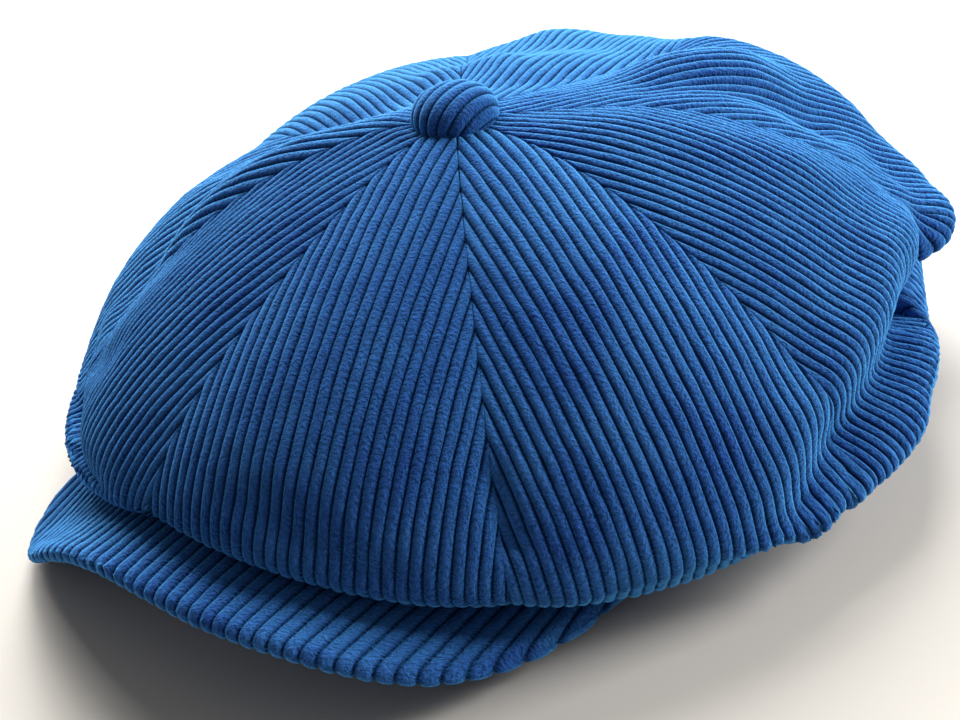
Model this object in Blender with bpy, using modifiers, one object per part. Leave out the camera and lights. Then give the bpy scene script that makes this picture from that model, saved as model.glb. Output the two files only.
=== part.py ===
"""Newsboy cap: eight-gore crown, covered button, stiffened visor, lining and headband.

Metres, +Z up. The wearer's face looks along -Y and the wearer's left is +X.
The hem's flat sides and back lie on z = 0.
"""
import math

import bmesh
import bpy
import numpy as np

# Head opening
HEAD_HALF_WIDTH = 0.086
HEAD_HALF_LENGTH = 0.101
HEM_RISE = 0.023
HEM_ARCH_RATE = 1.2

# Crown
GORES = 8
CROWN_REACH = 0.134
CROWN_TOP_X = 0.003
CROWN_TOP_Y = -0.004
CROWN_TOP_Z = 0.101
EDGE_HEIGHT = 0.022
EDGE_SADDLE = 0.007
EDGE_PITCH = 0.006
DOME_POWER = 1.8
DOME_POWER_FRONT = -0.3
DOME_ROUNDNESS = 0.65
FOLD_DEPTH = 0.008
FOLD_DEPTH_FRONT_LOSS = 0.003
FOLD_RADIUS = 0.013
FOLD_SHARE = 0.4
REST_SOFTNESS = 0.0008
UNDERSIDE_POWER = 1.3
CROWN_THICKNESS = 0.0024
SEAM_GAP = 0.0005
GORE_START = 0.062

# Button
BUTTON_RADIUS = 0.0125
BUTTON_HEIGHT = 0.0085
BUTTON_SINK = 0.0006
BUTTON_SKIN = 0.0016
BUTTON_WALL = 0.0008
BUTTON_LIP = 0.0012
BUTTON_RINGS = 6
SHANK_RADIUS = 0.0016
SHANK_FOOT_RADIUS = 0.0078
SHANK_FOOT_TOP = 0.0018
SHANK_FOOT_EDGE = 0.0012
SHANK_FOOT_DROP = 0.0002
SHANK_LENGTH = 0.0075
WASHER_RADIUS = 0.009
WASHER_TOP = 0.0056
WASHER_THICKNESS = 0.0012

# Visor
VISOR_WING_ANGLE = math.radians(64)
VISOR_FAN_ANGLE = math.radians(68)
VISOR_HALF_WIDTH_LEFT = 0.100
VISOR_HALF_WIDTH_RIGHT = 0.085
VISOR_REACH = 0.1505
VISOR_SIDE_Y = 0.047
VISOR_SQUARENESS_LEFT = 3.0
VISOR_SQUARENESS_RIGHT = 3.5
VISOR_WING_TAPER = 0.02
VISOR_END_Z = 0.0055
VISOR_ARCH = 0.0255
VISOR_TWIST_LEFT = 0.0036
VISOR_TWIST_RIGHT = 0.020
VISOR_LOWEST = 0.0034
VISOR_LOWEST_SOFTNESS = 0.002
VISOR_BOW = 0.0012
VISOR_SEAT = 0.005
VISOR_FADE_ANGLE = math.radians(8)
VISOR_REST_SHARES = (0.3, 0.6)
BOARD_THICKNESS = 0.0018
COVER_THICKNESS = 0.0016
PLY_GAP = 0.0003
BOARD_INSET = 0.0035
BOARD_SLACK = 0.0002
BOARD_END_SHARE = 0.01

# Headband
BAND_HEIGHT = 0.028
SWEATBAND_THICKNESS = 0.001
INTERLINING_THICKNESS = 0.001
INTERLINING_SHORTFALL = 0.002
HEM_TAPE_WIDTH = 0.003
HEM_TAPE_THICKNESS = 0.0015
CROWN_EDGE_OFFSET = 0.0048
CROWN_EDGE_LIFT = 0.0013
VISOR_EDGE_OFFSET = 0.004
VISOR_ROOM = 0.0105
CROWN_ON_VISOR_GAP = 0.0022

# Lining
LINING_THICKNESS = 0.0008
LINING_SEAM_GAP = 0.0004
LINING_TOP_DROP = 0.018
LINING_SPREAD = 0.002
LINING_START = 0.08
LINING_RIM_GAPS = 4

# Label
LABEL_WIDTH = 0.036
LABEL_HEIGHT = 0.018
LABEL_THICKNESS = 0.0006
LABEL_RISE = 0.008

RING_STEPS = 72
TURN_STEPS = 24
GORE_CELLS = (6, 18)
LINING_CELLS = (6, 6)
VISOR_CELLS = (44, 8)
LABEL_CELLS = (8, 1)
MERGE_DISTANCE = 0.00001
GORE_NAMES = ("left_front", "left_front_side", "left_rear_side", "left_rear",
              "right_rear", "right_rear_side", "right_front_side", "right_front")

CORDUROY = ("blue_corduroy", (0.035, 0.16, 0.42), 0.95, 0.0)
VISOR_CORDUROY = ("visor_corduroy", (0.03, 0.14, 0.38), 0.95, 0.0)
SATIN = ("navy_lining_satin", (0.02, 0.035, 0.09), 0.45, 0.0)
TWILL = ("navy_sweatband_twill", (0.02, 0.03, 0.07), 0.85, 0.0)
INTERLINING = ("dark_interlining", (0.035, 0.045, 0.07), 0.9, 0.0)
BOARD = ("visor_board_plastic", (0.72, 0.71, 0.68), 0.5, 0.0)
STEEL = ("button_steel", (0.6, 0.6, 0.6), 0.35, 1.0)
LABEL = ("blank_label_satin", (0.75, 0.74, 0.7), 0.6, 0.0)


def clear_scene():
    """Remove every object that the new file came with."""
    for old in list(bpy.data.objects):
        bpy.data.objects.remove(old, do_unlink=True)


def new_collection(name):
    """Make a collection and link it to the scene."""
    collection = bpy.data.collections.new(name)
    bpy.context.scene.collection.children.link(collection)
    return collection


def material(recipe):
    """Return the Principled material of a (name, colour, roughness, metallic) recipe."""
    name, colour, roughness, metallic = recipe
    found = bpy.data.materials.get(name)
    if found:
        return found
    made = bpy.data.materials.new(name)
    made.use_nodes = True
    shader = made.node_tree.nodes["Principled BSDF"]
    shader.inputs["Base Color"].default_value = (*colour, 1.0)
    shader.inputs["Roughness"].default_value = roughness
    shader.inputs["Metallic"].default_value = metallic
    return made


def smooth_step(value):
    """Cubic ease from 0 to 1."""
    value = np.clip(value, 0.0, 1.0)
    return value * value * (3.0 - 2.0 * value)


def on_opening(angle, offset):
    """Point of the head ellipse, moved outwards by offset. Angle 0 is the front."""
    x = (HEAD_HALF_WIDTH + offset) * np.sin(angle)
    y = -(HEAD_HALF_LENGTH + offset) * np.cos(angle)
    return x, y


def hem_height(angle):
    """The hem lies flat at the sides and back and arches up over the visor."""
    wrapped = (angle + math.pi) % (2 * math.pi) - math.pi
    turned = np.clip(np.abs(wrapped) * HEM_ARCH_RATE, 0.0, math.pi / 2)
    return HEM_RISE * np.cos(turned) ** 2


def visor_zone(angle):
    """1 over the visor's seam, easing to 0 just past its wing ends."""
    wrapped = np.abs((angle + math.pi) % (2 * math.pi) - math.pi)
    return 1.0 - smooth_step((wrapped - VISOR_WING_ANGLE) / VISOR_FADE_ANGLE)


def fold_bottom_height(angle):
    """Lowest line of the crown's folded edge. Over the visor it rests on the visor."""
    free = EDGE_HEIGHT + EDGE_SADDLE * np.cos(2 * angle) - EDGE_PITCH * np.cos(angle)
    wrapped = (angle + math.pi) % (2 * math.pi) - math.pi
    side = np.clip(wrapped / VISOR_FAN_ANGLE, -1.0, 1.0)
    near, far = (visor_point(side, share, 0.0)[2] for share in VISOR_REST_SHARES)
    middle = np.maximum(near, far)
    half_visor = BOARD_THICKNESS / 2 + PLY_GAP + COVER_THICKNESS
    rest = (middle + half_visor + CROWN_ON_VISOR_GAP) * visor_zone(angle)
    return REST_SOFTNESS * np.logaddexp(free / REST_SOFTNESS, rest / REST_SOFTNESS)


def crown_point(angle, along):
    """Point of the crown's outer face. along runs 0 at the button, 1 widest, 2 hem."""
    depth = FOLD_DEPTH - FOLD_DEPTH_FRONT_LOSS * np.clip(np.cos(angle), 0.0, 1.0) ** 2
    bottom_z = fold_bottom_height(angle)
    widest_z = bottom_z + depth
    power = DOME_POWER + DOME_POWER_FRONT * np.cos(angle)
    dome = np.clip(along, 0.0, 1.0)
    out = np.sin(dome * math.pi / 2)
    fall = 1.0 - np.clip(1.0 - out ** power, 0.0, 1.0) ** DOME_ROUNDNESS
    rim_x = CROWN_REACH * np.sin(angle)
    rim_y = -CROWN_REACH * np.cos(angle)
    top_x = CROWN_TOP_X + (rim_x - CROWN_TOP_X) * out
    top_y = CROWN_TOP_Y + (rim_y - CROWN_TOP_Y) * out
    top_z = CROWN_TOP_Z - (CROWN_TOP_Z - widest_z) * fall

    under = np.clip(along - 1.0, 0.0, 1.0)
    turn = np.clip(under / FOLD_SHARE, 0.0, 1.0) * math.pi / 2
    back = np.clip((under - FOLD_SHARE) / (1.0 - FOLD_SHARE), 0.0, 1.0)
    hem_x, hem_y = on_opening(angle, CROWN_EDGE_OFFSET)
    hem_z = hem_height(angle) + CROWN_EDGE_LIFT + VISOR_ROOM * visor_zone(angle)
    fold = CROWN_REACH - FOLD_RADIUS * (1.0 - np.cos(turn))
    fold_x = fold * np.sin(angle)
    fold_y = -fold * np.cos(angle)
    low_x = fold_x + (hem_x - fold_x) * back
    low_y = fold_y + (hem_y - fold_y) * back
    turned_z = widest_z - depth * np.sin(turn)
    low_z = turned_z + (hem_z - bottom_z) * back ** UNDERSIDE_POWER
    over = along > 1.0
    return (np.where(over, low_x, top_x), np.where(over, low_y, top_y),
            np.where(over, low_z, top_z))


def lining_point(angle, along):
    """Point of the lining: a dome that hangs from the headband's top edge."""
    lean = along * math.pi / 2
    rim_x, rim_y = on_opening(angle, LINING_SPREAD)
    rim_z = hem_height(angle) + BAND_HEIGHT + PLY_GAP * LINING_RIM_GAPS
    top_z = CROWN_TOP_Z - LINING_TOP_DROP
    out = np.sin(lean)
    x = CROWN_TOP_X + (rim_x - CROWN_TOP_X) * out
    y = CROWN_TOP_Y + (rim_y - CROWN_TOP_Y) * out
    z = rim_z + (top_z - rim_z) * np.cos(lean)
    return x, y, z


def visor_outline(side):
    """Outer edge of the visor. side runs -1 at the right wing to 1 at the left wing."""
    turn = side * math.pi / 2
    left = side > 0
    half_width = np.where(left, VISOR_HALF_WIDTH_LEFT, VISOR_HALF_WIDTH_RIGHT)
    squareness = np.where(left, VISOR_SQUARENESS_LEFT, VISOR_SQUARENESS_RIGHT)
    across = np.sign(turn) * np.abs(np.sin(turn)) ** (2 / squareness)
    ahead = np.clip(np.cos(turn), 0.0, 1.0) ** (2 / squareness)
    x = half_width * across * (1.0 - VISOR_WING_TAPER * (1.0 - ahead) ** 4)
    y = -(VISOR_SIDE_Y + (VISOR_REACH - VISOR_SIDE_Y) * ahead)
    arch = VISOR_ARCH * (1.0 - side ** 2) ** 3
    amount = np.where(left, VISOR_TWIST_LEFT, VISOR_TWIST_RIGHT)
    twist = amount * np.sin(side * math.pi) * np.sqrt(np.clip(1.0 - side ** 2, 0.0, 1.0))
    free = VISOR_END_Z + arch + twist - VISOR_LOWEST
    soft = VISOR_LOWEST_SOFTNESS
    z = VISOR_LOWEST + soft * np.logaddexp(0.0, free / soft)
    return x, y, z


def visor_point(side, out, inset):
    """Middle surface of the visor. out runs 0 at the headband to 1 at the outer edge."""
    angle = side * VISOR_WING_ANGLE
    in_x, in_y = on_opening(angle, VISOR_EDGE_OFFSET)
    in_z = hem_height(angle) + VISOR_SEAT
    out_x, out_y, out_z = visor_outline(side)
    span = np.hypot(out_x - in_x, out_y - in_y)
    share = out * (1.0 - inset / span)
    bow = VISOR_BOW * np.sin(share * math.pi) * (1.0 - side ** 2)
    x = in_x + (out_x - in_x) * share
    y = in_y + (out_y - in_y) * share
    z = in_z + (out_z - in_z) * (smooth_step(share) + share) / 2 + bow
    return x, y, z


def place_object(name, mesh, recipe, collection):
    """Wrap a mesh in an object with its material."""
    piece = bpy.data.objects.new(name, mesh)
    collection.objects.link(piece)
    mesh.materials.append(material(recipe))
    mesh.shade_smooth()
    mesh.set_sharp_from_angle(angle=math.radians(35))
    return piece


def bent_sheet(name, surface, cells, thickness, recipe, collection):
    """A flat grid laid on surface(u, v), u and v from 0 to 1, thickened inwards."""
    build = bmesh.new()
    bmesh.ops.create_grid(build, x_segments=cells[0], y_segments=cells[1], size=0.5)
    flat = np.array([point.co[:] for point in build.verts])
    x, y, z = surface(flat[:, 0] + 0.5, flat[:, 1] + 0.5)
    for point, place in zip(build.verts, np.stack([x, y, z], axis=1)):
        point.co = place
    mesh = bpy.data.meshes.new(name)
    build.to_mesh(mesh)
    build.free()
    piece = place_object(name, mesh, recipe, collection)
    wall = piece.modifiers.new("wall", "SOLIDIFY")
    wall.thickness = thickness
    wall.offset = -1.0
    return piece


def bent_ring(name, offset, bottom, height, thickness, recipe, collection):
    """An open cylinder bent onto the head ellipse at an offset, thickened outwards."""
    build = bmesh.new()
    bmesh.ops.create_cone(build, cap_ends=False, segments=RING_STEPS,
                          radius1=1.0, radius2=1.0, depth=1.0)
    for point in build.verts:
        angle = math.atan2(point.co.x, -point.co.y)
        x, y = on_opening(angle, offset)
        z = hem_height(angle) + bottom + height * (point.co.z + 0.5)
        point.co = (x, y, z)
    mesh = bpy.data.meshes.new(name)
    build.to_mesh(mesh)
    build.free()
    piece = place_object(name, mesh, recipe, collection)
    wall = piece.modifiers.new("wall", "SOLIDIFY")
    wall.thickness = thickness
    wall.offset = 1.0
    return piece


def turned(name, profile, recipe, collection, height):
    """A profile of (radius, z) pairs, top to bottom, turned about the button's axis."""
    mesh = bpy.data.meshes.new(name)
    points = [(radius, 0.0, z) for radius, z in profile]
    edges = [(i, i + 1) for i in range(len(points) - 1)]
    mesh.from_pydata(points, edges, [])
    piece = bpy.data.objects.new(name, mesh)
    collection.objects.link(piece)
    mesh.materials.append(material(recipe))
    piece.location = (CROWN_TOP_X, CROWN_TOP_Y, height)
    spin = piece.modifiers.new("turn", "SCREW")
    spin.steps = TURN_STEPS
    spin.render_steps = TURN_STEPS
    spin.use_merge_vertices = True
    spin.merge_threshold = MERGE_DISTANCE
    return piece


def make_gore(index, collection):
    """One crown gore, from the button's rim round the folded edge to the hem."""
    middle = math.radians(360 / GORES) * (index + 0.5)
    half = math.radians(180 / GORES)

    def surface(u, v):
        along = GORE_START + (2.0 - GORE_START) * v
        x, y, _ = crown_point(middle, along)
        radius = np.hypot(x - CROWN_TOP_X, y - CROWN_TOP_Y)
        angle = middle + (half - 0.5 * SEAM_GAP / radius) * (1.0 - 2.0 * u)
        return crown_point(angle, along)

    bent_sheet(f"crown_gore_{GORE_NAMES[index]}", surface, GORE_CELLS,
               CROWN_THICKNESS, CORDUROY, collection)


def make_lining_gore(index, collection):
    """One lining gore, inside the crown gore of the same name."""
    middle = math.radians(360 / GORES) * (index + 0.5)
    half = math.radians(180 / GORES)

    def surface(u, v):
        along = LINING_START + (1.0 - LINING_START) * v
        x, y, _ = lining_point(middle, along)
        radius = np.hypot(x - CROWN_TOP_X, y - CROWN_TOP_Y)
        angle = middle + (half - 0.5 * LINING_SEAM_GAP / radius) * (1.0 - 2.0 * u)
        return lining_point(angle, along)

    bent_sheet(f"lining_gore_{GORE_NAMES[index]}", surface, LINING_CELLS,
               LINING_THICKNESS, SATIN, collection)


def make_headband(collection):
    """Hem tape, sweatband and the stiff interlining between band and crown."""
    bent_ring("hem_tape", 0.0, 0.0, HEM_TAPE_THICKNESS, HEM_TAPE_WIDTH, TWILL, collection)
    lift = HEM_TAPE_THICKNESS + PLY_GAP
    bent_ring("sweatband", 0.0, lift, BAND_HEIGHT - lift,
              SWEATBAND_THICKNESS, TWILL, collection)
    outside = SWEATBAND_THICKNESS + PLY_GAP
    bent_ring("headband_interlining", outside, lift, BAND_HEIGHT - lift - INTERLINING_SHORTFALL,
              INTERLINING_THICKNESS, INTERLINING, collection)


def make_visor(collection):
    """Stiff board between an upper and a lower corduroy cover."""
    half = BOARD_THICKNESS / 2
    plies = (
        ("visor_board", half - BOARD_SLACK, BOARD_THICKNESS - 2 * BOARD_SLACK, BOARD_INSET,
         BOARD),
        ("visor_top_cover", half + PLY_GAP + COVER_THICKNESS, COVER_THICKNESS, 0.0,
         VISOR_CORDUROY),
        ("visor_under_cover", -half - PLY_GAP, COVER_THICKNESS, 0.0, VISOR_CORDUROY),
    )
    for name, top, thickness, inset, recipe in plies:

        def surface(u, v, top=top, inset=inset):
            side = (2.0 * u - 1.0) * (1.0 - BOARD_END_SHARE * (inset > 0))
            x, y, z = visor_point(side, 1.0 - v, inset)
            return x, y, z + top

        bent_sheet(name, surface, VISOR_CELLS, thickness, recipe, collection)


def dome_profile(radius, height):
    """Quarter ellipse of (radius, z) pairs, from its top to its rim."""
    turns = [i / BUTTON_RINGS * math.pi / 2 for i in range(BUTTON_RINGS + 1)]
    return [(radius * math.sin(turn), height * math.cos(turn)) for turn in turns]


def make_button(collection):
    """Corduroy over a steel cap. The profiles run down the outside and back up the inside."""
    inner = BUTTON_RADIUS - BUTTON_SKIN - PLY_GAP
    hollow_height = BUTTON_HEIGHT - BUTTON_SKIN
    shell_height = hollow_height - PLY_GAP
    seat = CROWN_TOP_Z - BUTTON_SINK
    outer = dome_profile(BUTTON_RADIUS, BUTTON_HEIGHT)
    outer[-1] = (BUTTON_RADIUS - BUTTON_LIP, 0.0)
    hollow = dome_profile(inner + PLY_GAP, hollow_height)[::-1]
    turned("button_cover", outer + hollow, CORDUROY, collection, seat)
    shell = dome_profile(inner, shell_height)
    inside = dome_profile(inner - BUTTON_WALL, shell_height - BUTTON_WALL)[::-1]
    turned("button_shell", shell + inside, STEEL, collection, seat)
    make_shank(shell_height - PLY_GAP - 1.5 * BUTTON_WALL, seat, collection)


def make_shank(top, seat, collection):
    """The button's stem with its foot inside the cap, and the back washer under the crown."""
    stem = SHANK_RADIUS
    foot = SHANK_FOOT_RADIUS
    shank = [(0.0, top), (stem, top), (stem, SHANK_FOOT_TOP), (foot, SHANK_FOOT_EDGE)]
    shank += [(foot, 0.0), (stem, -SHANK_FOOT_DROP), (stem, -SHANK_LENGTH), (0.0, -SHANK_LENGTH)]
    turned("button_shank", shank, STEEL, collection, seat)
    hole = stem + PLY_GAP
    low = WASHER_TOP + WASHER_THICKNESS
    washer = [(hole, -WASHER_TOP), (WASHER_RADIUS, -WASHER_TOP), (WASHER_RADIUS, -low)]
    washer += [(hole, -low), (hole, -WASHER_TOP)]
    turned("button_back_washer", washer, STEEL, collection, seat)


def make_label(collection):
    """Blank size label sewn on the sweatband's inside at the back."""
    def surface(u, v):
        angle = math.pi + (0.5 - u) * LABEL_WIDTH / HEAD_HALF_WIDTH
        x, y = on_opening(angle, -PLY_GAP)
        z = hem_height(angle) + LABEL_RISE + LABEL_HEIGHT * (1.0 - v)
        return x, y, z

    bent_sheet("size_label", surface, LABEL_CELLS, LABEL_THICKNESS, LABEL, collection)


def main():
    """Build the whole cap."""
    clear_scene()
    collection = new_collection("newsboy_cap")
    for index in range(GORES):
        make_gore(index, collection)
        make_lining_gore(index, collection)
    make_headband(collection)
    make_visor(collection)
    make_button(collection)
    make_label(collection)


main()
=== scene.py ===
# %% [markdown]
# # A corduroy newsboy cap
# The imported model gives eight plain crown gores, a visor, a button, a lining and a headband, all in
# the right place and at the right size. This file gives each of them the cloth it is really made
# of. The main idea is that corduroy is a cloth of long parallel ribs, called wales, and that the
# ribs catch the light far more than their colour does. So every rib is real geometry here.

# %% Load the frame
import math

import bpy
import numpy as np
from mathutils import Matrix


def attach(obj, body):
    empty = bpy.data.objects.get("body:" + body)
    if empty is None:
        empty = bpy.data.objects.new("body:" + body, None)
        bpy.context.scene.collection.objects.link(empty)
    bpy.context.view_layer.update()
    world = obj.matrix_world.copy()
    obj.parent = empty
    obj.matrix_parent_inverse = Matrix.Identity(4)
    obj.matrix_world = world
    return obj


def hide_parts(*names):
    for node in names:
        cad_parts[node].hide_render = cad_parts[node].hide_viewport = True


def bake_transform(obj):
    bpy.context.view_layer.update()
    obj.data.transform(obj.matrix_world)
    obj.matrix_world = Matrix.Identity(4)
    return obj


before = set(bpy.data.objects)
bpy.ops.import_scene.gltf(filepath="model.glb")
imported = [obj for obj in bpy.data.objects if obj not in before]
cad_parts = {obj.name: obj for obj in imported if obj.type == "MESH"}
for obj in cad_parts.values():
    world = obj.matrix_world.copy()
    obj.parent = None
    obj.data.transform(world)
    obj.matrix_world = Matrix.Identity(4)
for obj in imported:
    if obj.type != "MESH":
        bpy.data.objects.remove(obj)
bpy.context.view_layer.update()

# %% [markdown]
# ## Surfaces from arrays
# Every cloth piece below is a grid: columns and rows of points that a formula places all at once.
# Ribbed pieces are closed: they are made from a front grid, a back grid and a strip round the
# edge. Only the plain cloths use a Solidify modifier. The helpers store a UV map in real metres
# along the cloth and extra values, such as how high a point is on its rib, which the materials
# read later. A ring's last column is its first again.

# %% Grid helpers
MM = 0.001


def link_piece(name, mesh):
    """Smooth a mesh and put it in the scene as an object at the origin."""
    mesh.shade_smooth()
    piece = bpy.data.objects.new(name, mesh)
    bpy.context.scene.collection.objects.link(piece)
    return piece


def build_piece(name, points, corners, corner_uv, values):
    """Piece from a list of points and the corner numbers of its quads, four at a time."""
    mesh = bpy.data.meshes.new(name)
    mesh.vertices.add(len(points))
    mesh.vertices.foreach_set("co", points.reshape(-1).astype(np.float32))
    mesh.loops.add(len(corners))
    mesh.loops.foreach_set("vertex_index", corners.astype(np.int32))
    mesh.polygons.add(len(corners) // 4)
    mesh.polygons.foreach_set("loop_start", np.arange(0, len(corners), 4, dtype=np.int32))
    if corner_uv is not None:
        layer = mesh.uv_layers.new(name="cloth")
        layer.data.foreach_set("uv", corner_uv.reshape(-1).astype(np.float32))
    for label, array in values.items():
        attribute = mesh.attributes.new(label, "FLOAT", "POINT")
        attribute.data.foreach_set("value", array.astype(np.float32))
    mesh.update(calc_edges=True)
    mesh.validate()
    return link_piece(name, mesh)


def grid_quads(columns, rows, first=0):
    """Numbers of a grid's points, counted from first, and the corner numbers of its quads."""
    index = first + np.arange(columns * rows).reshape(columns, rows)
    quads = np.stack([index[:-1, :-1], index[1:, :-1], index[1:, 1:], index[:-1, 1:]], axis=-1)
    return index, quads.reshape(-1, 4)


def cloth_grid(name, points, uv=None, flip=False, ring=False):
    """Open piece from a (columns, rows, 3) array. Neighbouring columns and rows are joined by
    quads. With ring, the last column repeats the first and is welded to it."""
    columns, rows, _ = points.shape
    quads = grid_quads(columns, rows)[1]
    if flip:
        quads = quads[:, ::-1]
    corners = quads.reshape(-1)
    used = (columns - 1 if ring else columns) * rows
    corner_uv = None if uv is None else uv.reshape(-1, 2)[corners]
    return build_piece(name, points.reshape(-1, 3)[:used], corners % used, corner_uv, {})


def shell_grid(name, outer, inner, uv, values, flip=False):
    """A closed piece from two grids: the good side, the back, and a strip round their edge."""
    columns, rows, _ = outer.shape
    front, front_quads = grid_quads(columns, rows)
    back, back_quads = grid_quads(columns, rows, columns * rows)
    rim = [np.concatenate([grid[:-1, 0], grid[-1, :-1], grid[:0:-1, -1], grid[0, :0:-1]])
           for grid in (front, back)]
    strip = np.stack([rim[0], rim[1], np.roll(rim[1], -1), np.roll(rim[0], -1)], axis=-1)
    quads = np.concatenate([front_quads, back_quads[:, ::-1], strip])
    if flip:
        quads = quads[:, ::-1]
    corners = quads.reshape(-1)
    both = {label: np.concatenate([array.reshape(-1), 0.0 * array.reshape(-1)])
            for label, array in values.items()}
    points = np.concatenate([outer.reshape(-1, 3), inner.reshape(-1, 3)])
    return build_piece(name, points, corners, np.tile(uv.reshape(-1, 2), (2, 1))[corners], both)


def give_thickness(piece, thickness, offset=-1.0):
    """Solidify: offset -1 grows the wall behind the faces."""
    wall = piece.modifiers.new("cloth thickness", "SOLIDIFY")
    wall.thickness = thickness
    wall.offset = offset


def ease(value):
    """Cubic ease from 0 to 1, flat at both ends."""
    value = np.clip(value, 0.0, 1.0)
    return value * value * (3.0 - 2.0 * value)


def turn_difference(angle, centre):
    """Signed angle from centre, wrapped to half a turn each way."""
    return (angle - centre + math.pi) % (2 * math.pi) - math.pi


def unit(vectors):
    """Vectors scaled to length 1, safe for a vector of length 0."""
    return vectors / np.maximum(np.linalg.norm(vectors, axis=-1, keepdims=True), 1e-12)


def grid_normals(points):
    """Unit normals of a grid: its slope down the rows crossed with its slope over the columns."""
    return unit(np.cross(np.gradient(points, axis=1), np.gradient(points, axis=0)))


def grid_area(points):
    """Area of a grid: half the cross product of each cell's diagonals, summed."""
    first = points[1:, 1:] - points[:-1, :-1]
    second = points[1:, :-1] - points[:-1, 1:]
    return float(0.5 * np.linalg.norm(np.cross(first, second), axis=-1).sum())


# %% [markdown]
# ## Finishes
# A shader is a small graph of nodes. I write each graph with one helper that adds a node, sets its
# plain values and links the rest. Cloth shows two kinds of variation at once: fine tufts or
# threads well under a millimetre, and slow patches a few centimetres wide where the pile leans
# another way. One node group makes both, and every cloth here uses it with its own sizes.

# %% Node helpers
def set_inputs(tree, node, values):
    """Each value is either a plain number or colour, or a socket to link from."""
    for name, value in values.items():
        if isinstance(value, bpy.types.NodeSocket):
            tree.links.new(value, node.inputs[name])
        else:
            node.inputs[name].default_value = value


def add_node(tree, kind, values=None, **settings):
    """Add a node with its settings and input values."""
    node = tree.nodes.new("ShaderNode" + kind)
    for name, value in settings.items():
        setattr(node, name, value)
    set_inputs(tree, node, values or {})
    return node


def math_node(tree, operation, *values):
    """Result of a Math node with its values in order."""
    return add_node(tree, "Math", dict(enumerate(values)), operation=operation).outputs[0]


def map_range(tree, value, low=0.0, high=1.0, new_low=0.0, new_high=1.0, curve="LINEAR"):
    """Result of a Map Range node: low to high becomes new_low to new_high."""
    values = {"Value": value, "From Min": low, "From Max": high, "To Min": new_low,
              "To Max": new_high}
    return add_node(tree, "MapRange", values, interpolation_type=curve).outputs[0]


def new_group(name, inputs, outputs):
    """An empty node group with float, vector or colour sockets."""
    group = bpy.data.node_groups.new(name, "ShaderNodeTree")
    for label, kind, value in inputs:
        socket = group.interface.new_socket(label, in_out="INPUT", socket_type="NodeSocket" + kind)
        socket.default_value = value
    for label, kind in outputs:
        group.interface.new_socket(label, in_out="OUTPUT", socket_type="NodeSocket" + kind)
    return group, group.nodes.new("NodeGroupInput").outputs, group.nodes.new("NodeGroupOutput").inputs


def use_group(tree, group, values):
    """Place a node group in a tree."""
    node = tree.nodes.new("ShaderNodeGroup")
    node.node_tree = group
    set_inputs(tree, node, values)
    return node.outputs


def new_material(name, constants):
    """A material whose Principled sockets get the constants."""
    made = bpy.data.materials.new(name)
    made.use_nodes = True
    shader = made.node_tree.nodes["Principled BSDF"]
    for label, value in constants.items():
        shader.inputs[label].default_value = value
    return made, made.node_tree, shader.inputs


# %% Cloth variation group
def make_variation_group():
    """Tufts: fine noise of the given size. Patches: slow noise. Both run from 0 to 1."""
    group, given, result = new_group(
        "cloth_variation",
        [("Vector", "Vector", (0, 0, 0)), ("Tuft Size", "Float", 0.0005),
         ("Patch Size", "Float", 0.03)],
        [("Tufts", "Float"), ("Patches", "Float")])
    for size, label, detail, low, high in (("Tuft Size", "Tufts", 3.0, 0.32, 0.68),
                                           ("Patch Size", "Patches", 2.0, 0.30, 0.70)):
        scale = math_node(group, "DIVIDE", 1.0, given[size])
        noise = add_node(group, "TexNoise", {"Vector": given["Vector"], "Scale": scale,
                                             "Detail": detail, "Roughness": 0.6})
        group.links.new(map_range(group, noise.outputs[0], low, high), result[label])
    return group


def make_weave_group():
    """Diagonal threads: a sine band across the diagonal, cut by a finer band along it."""
    group, given, result = new_group(
        "weave", [("Vector", "Vector", (0, 0, 0)), ("Thread", "Float", 0.0006),
                  ("Slant", "Float", 0.8)], [("Height", "Float")])
    scale = math_node(group, "DIVIDE", 0.314, given["Thread"])
    turned = add_node(group, "VectorRotate", {"Vector": given["Vector"], "Angle": given["Slant"]},
                      rotation_type="Z_AXIS")
    bands = [add_node(group, "TexWave", {"Vector": turned.outputs[0], "Scale": scale,
                                         "Distortion": 0.4, "Detail": 1.0},
                      bands_direction=direction) for direction in ("X", "Y")]
    both = math_node(group, "MULTIPLY_ADD", bands[1].outputs[1], 0.35, bands[0].outputs[1])
    group.links.new(both, result["Height"])
    return group


variation_group = make_variation_group()
weave_group = make_weave_group()


def vary(tree, place, tuft_size, patch_size):
    """Tufts and patches at a place, with their sizes in metres."""
    return use_group(tree, variation_group, {"Vector": place, "Tuft Size": tuft_size,
                                             "Patch Size": patch_size})


def mix_colour(tree, share, first, second):
    """Colour mix: share 0 gives the first and 1 the second."""
    node = add_node(tree, "Mix", {0: share, 6: first, 7: second}, data_type="RGBA")
    return node.outputs[2]


def add_bump(tree, shader, height, strength, distance):
    """Raise the shader's surface by a height value."""
    bump = add_node(tree, "Bump", {"Height": height, "Strength": strength, "Distance": distance})
    tree.links.new(bump.outputs[0], shader["Normal"])


print("node groups:", variation_group.name, "and", weave_group.name)
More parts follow.
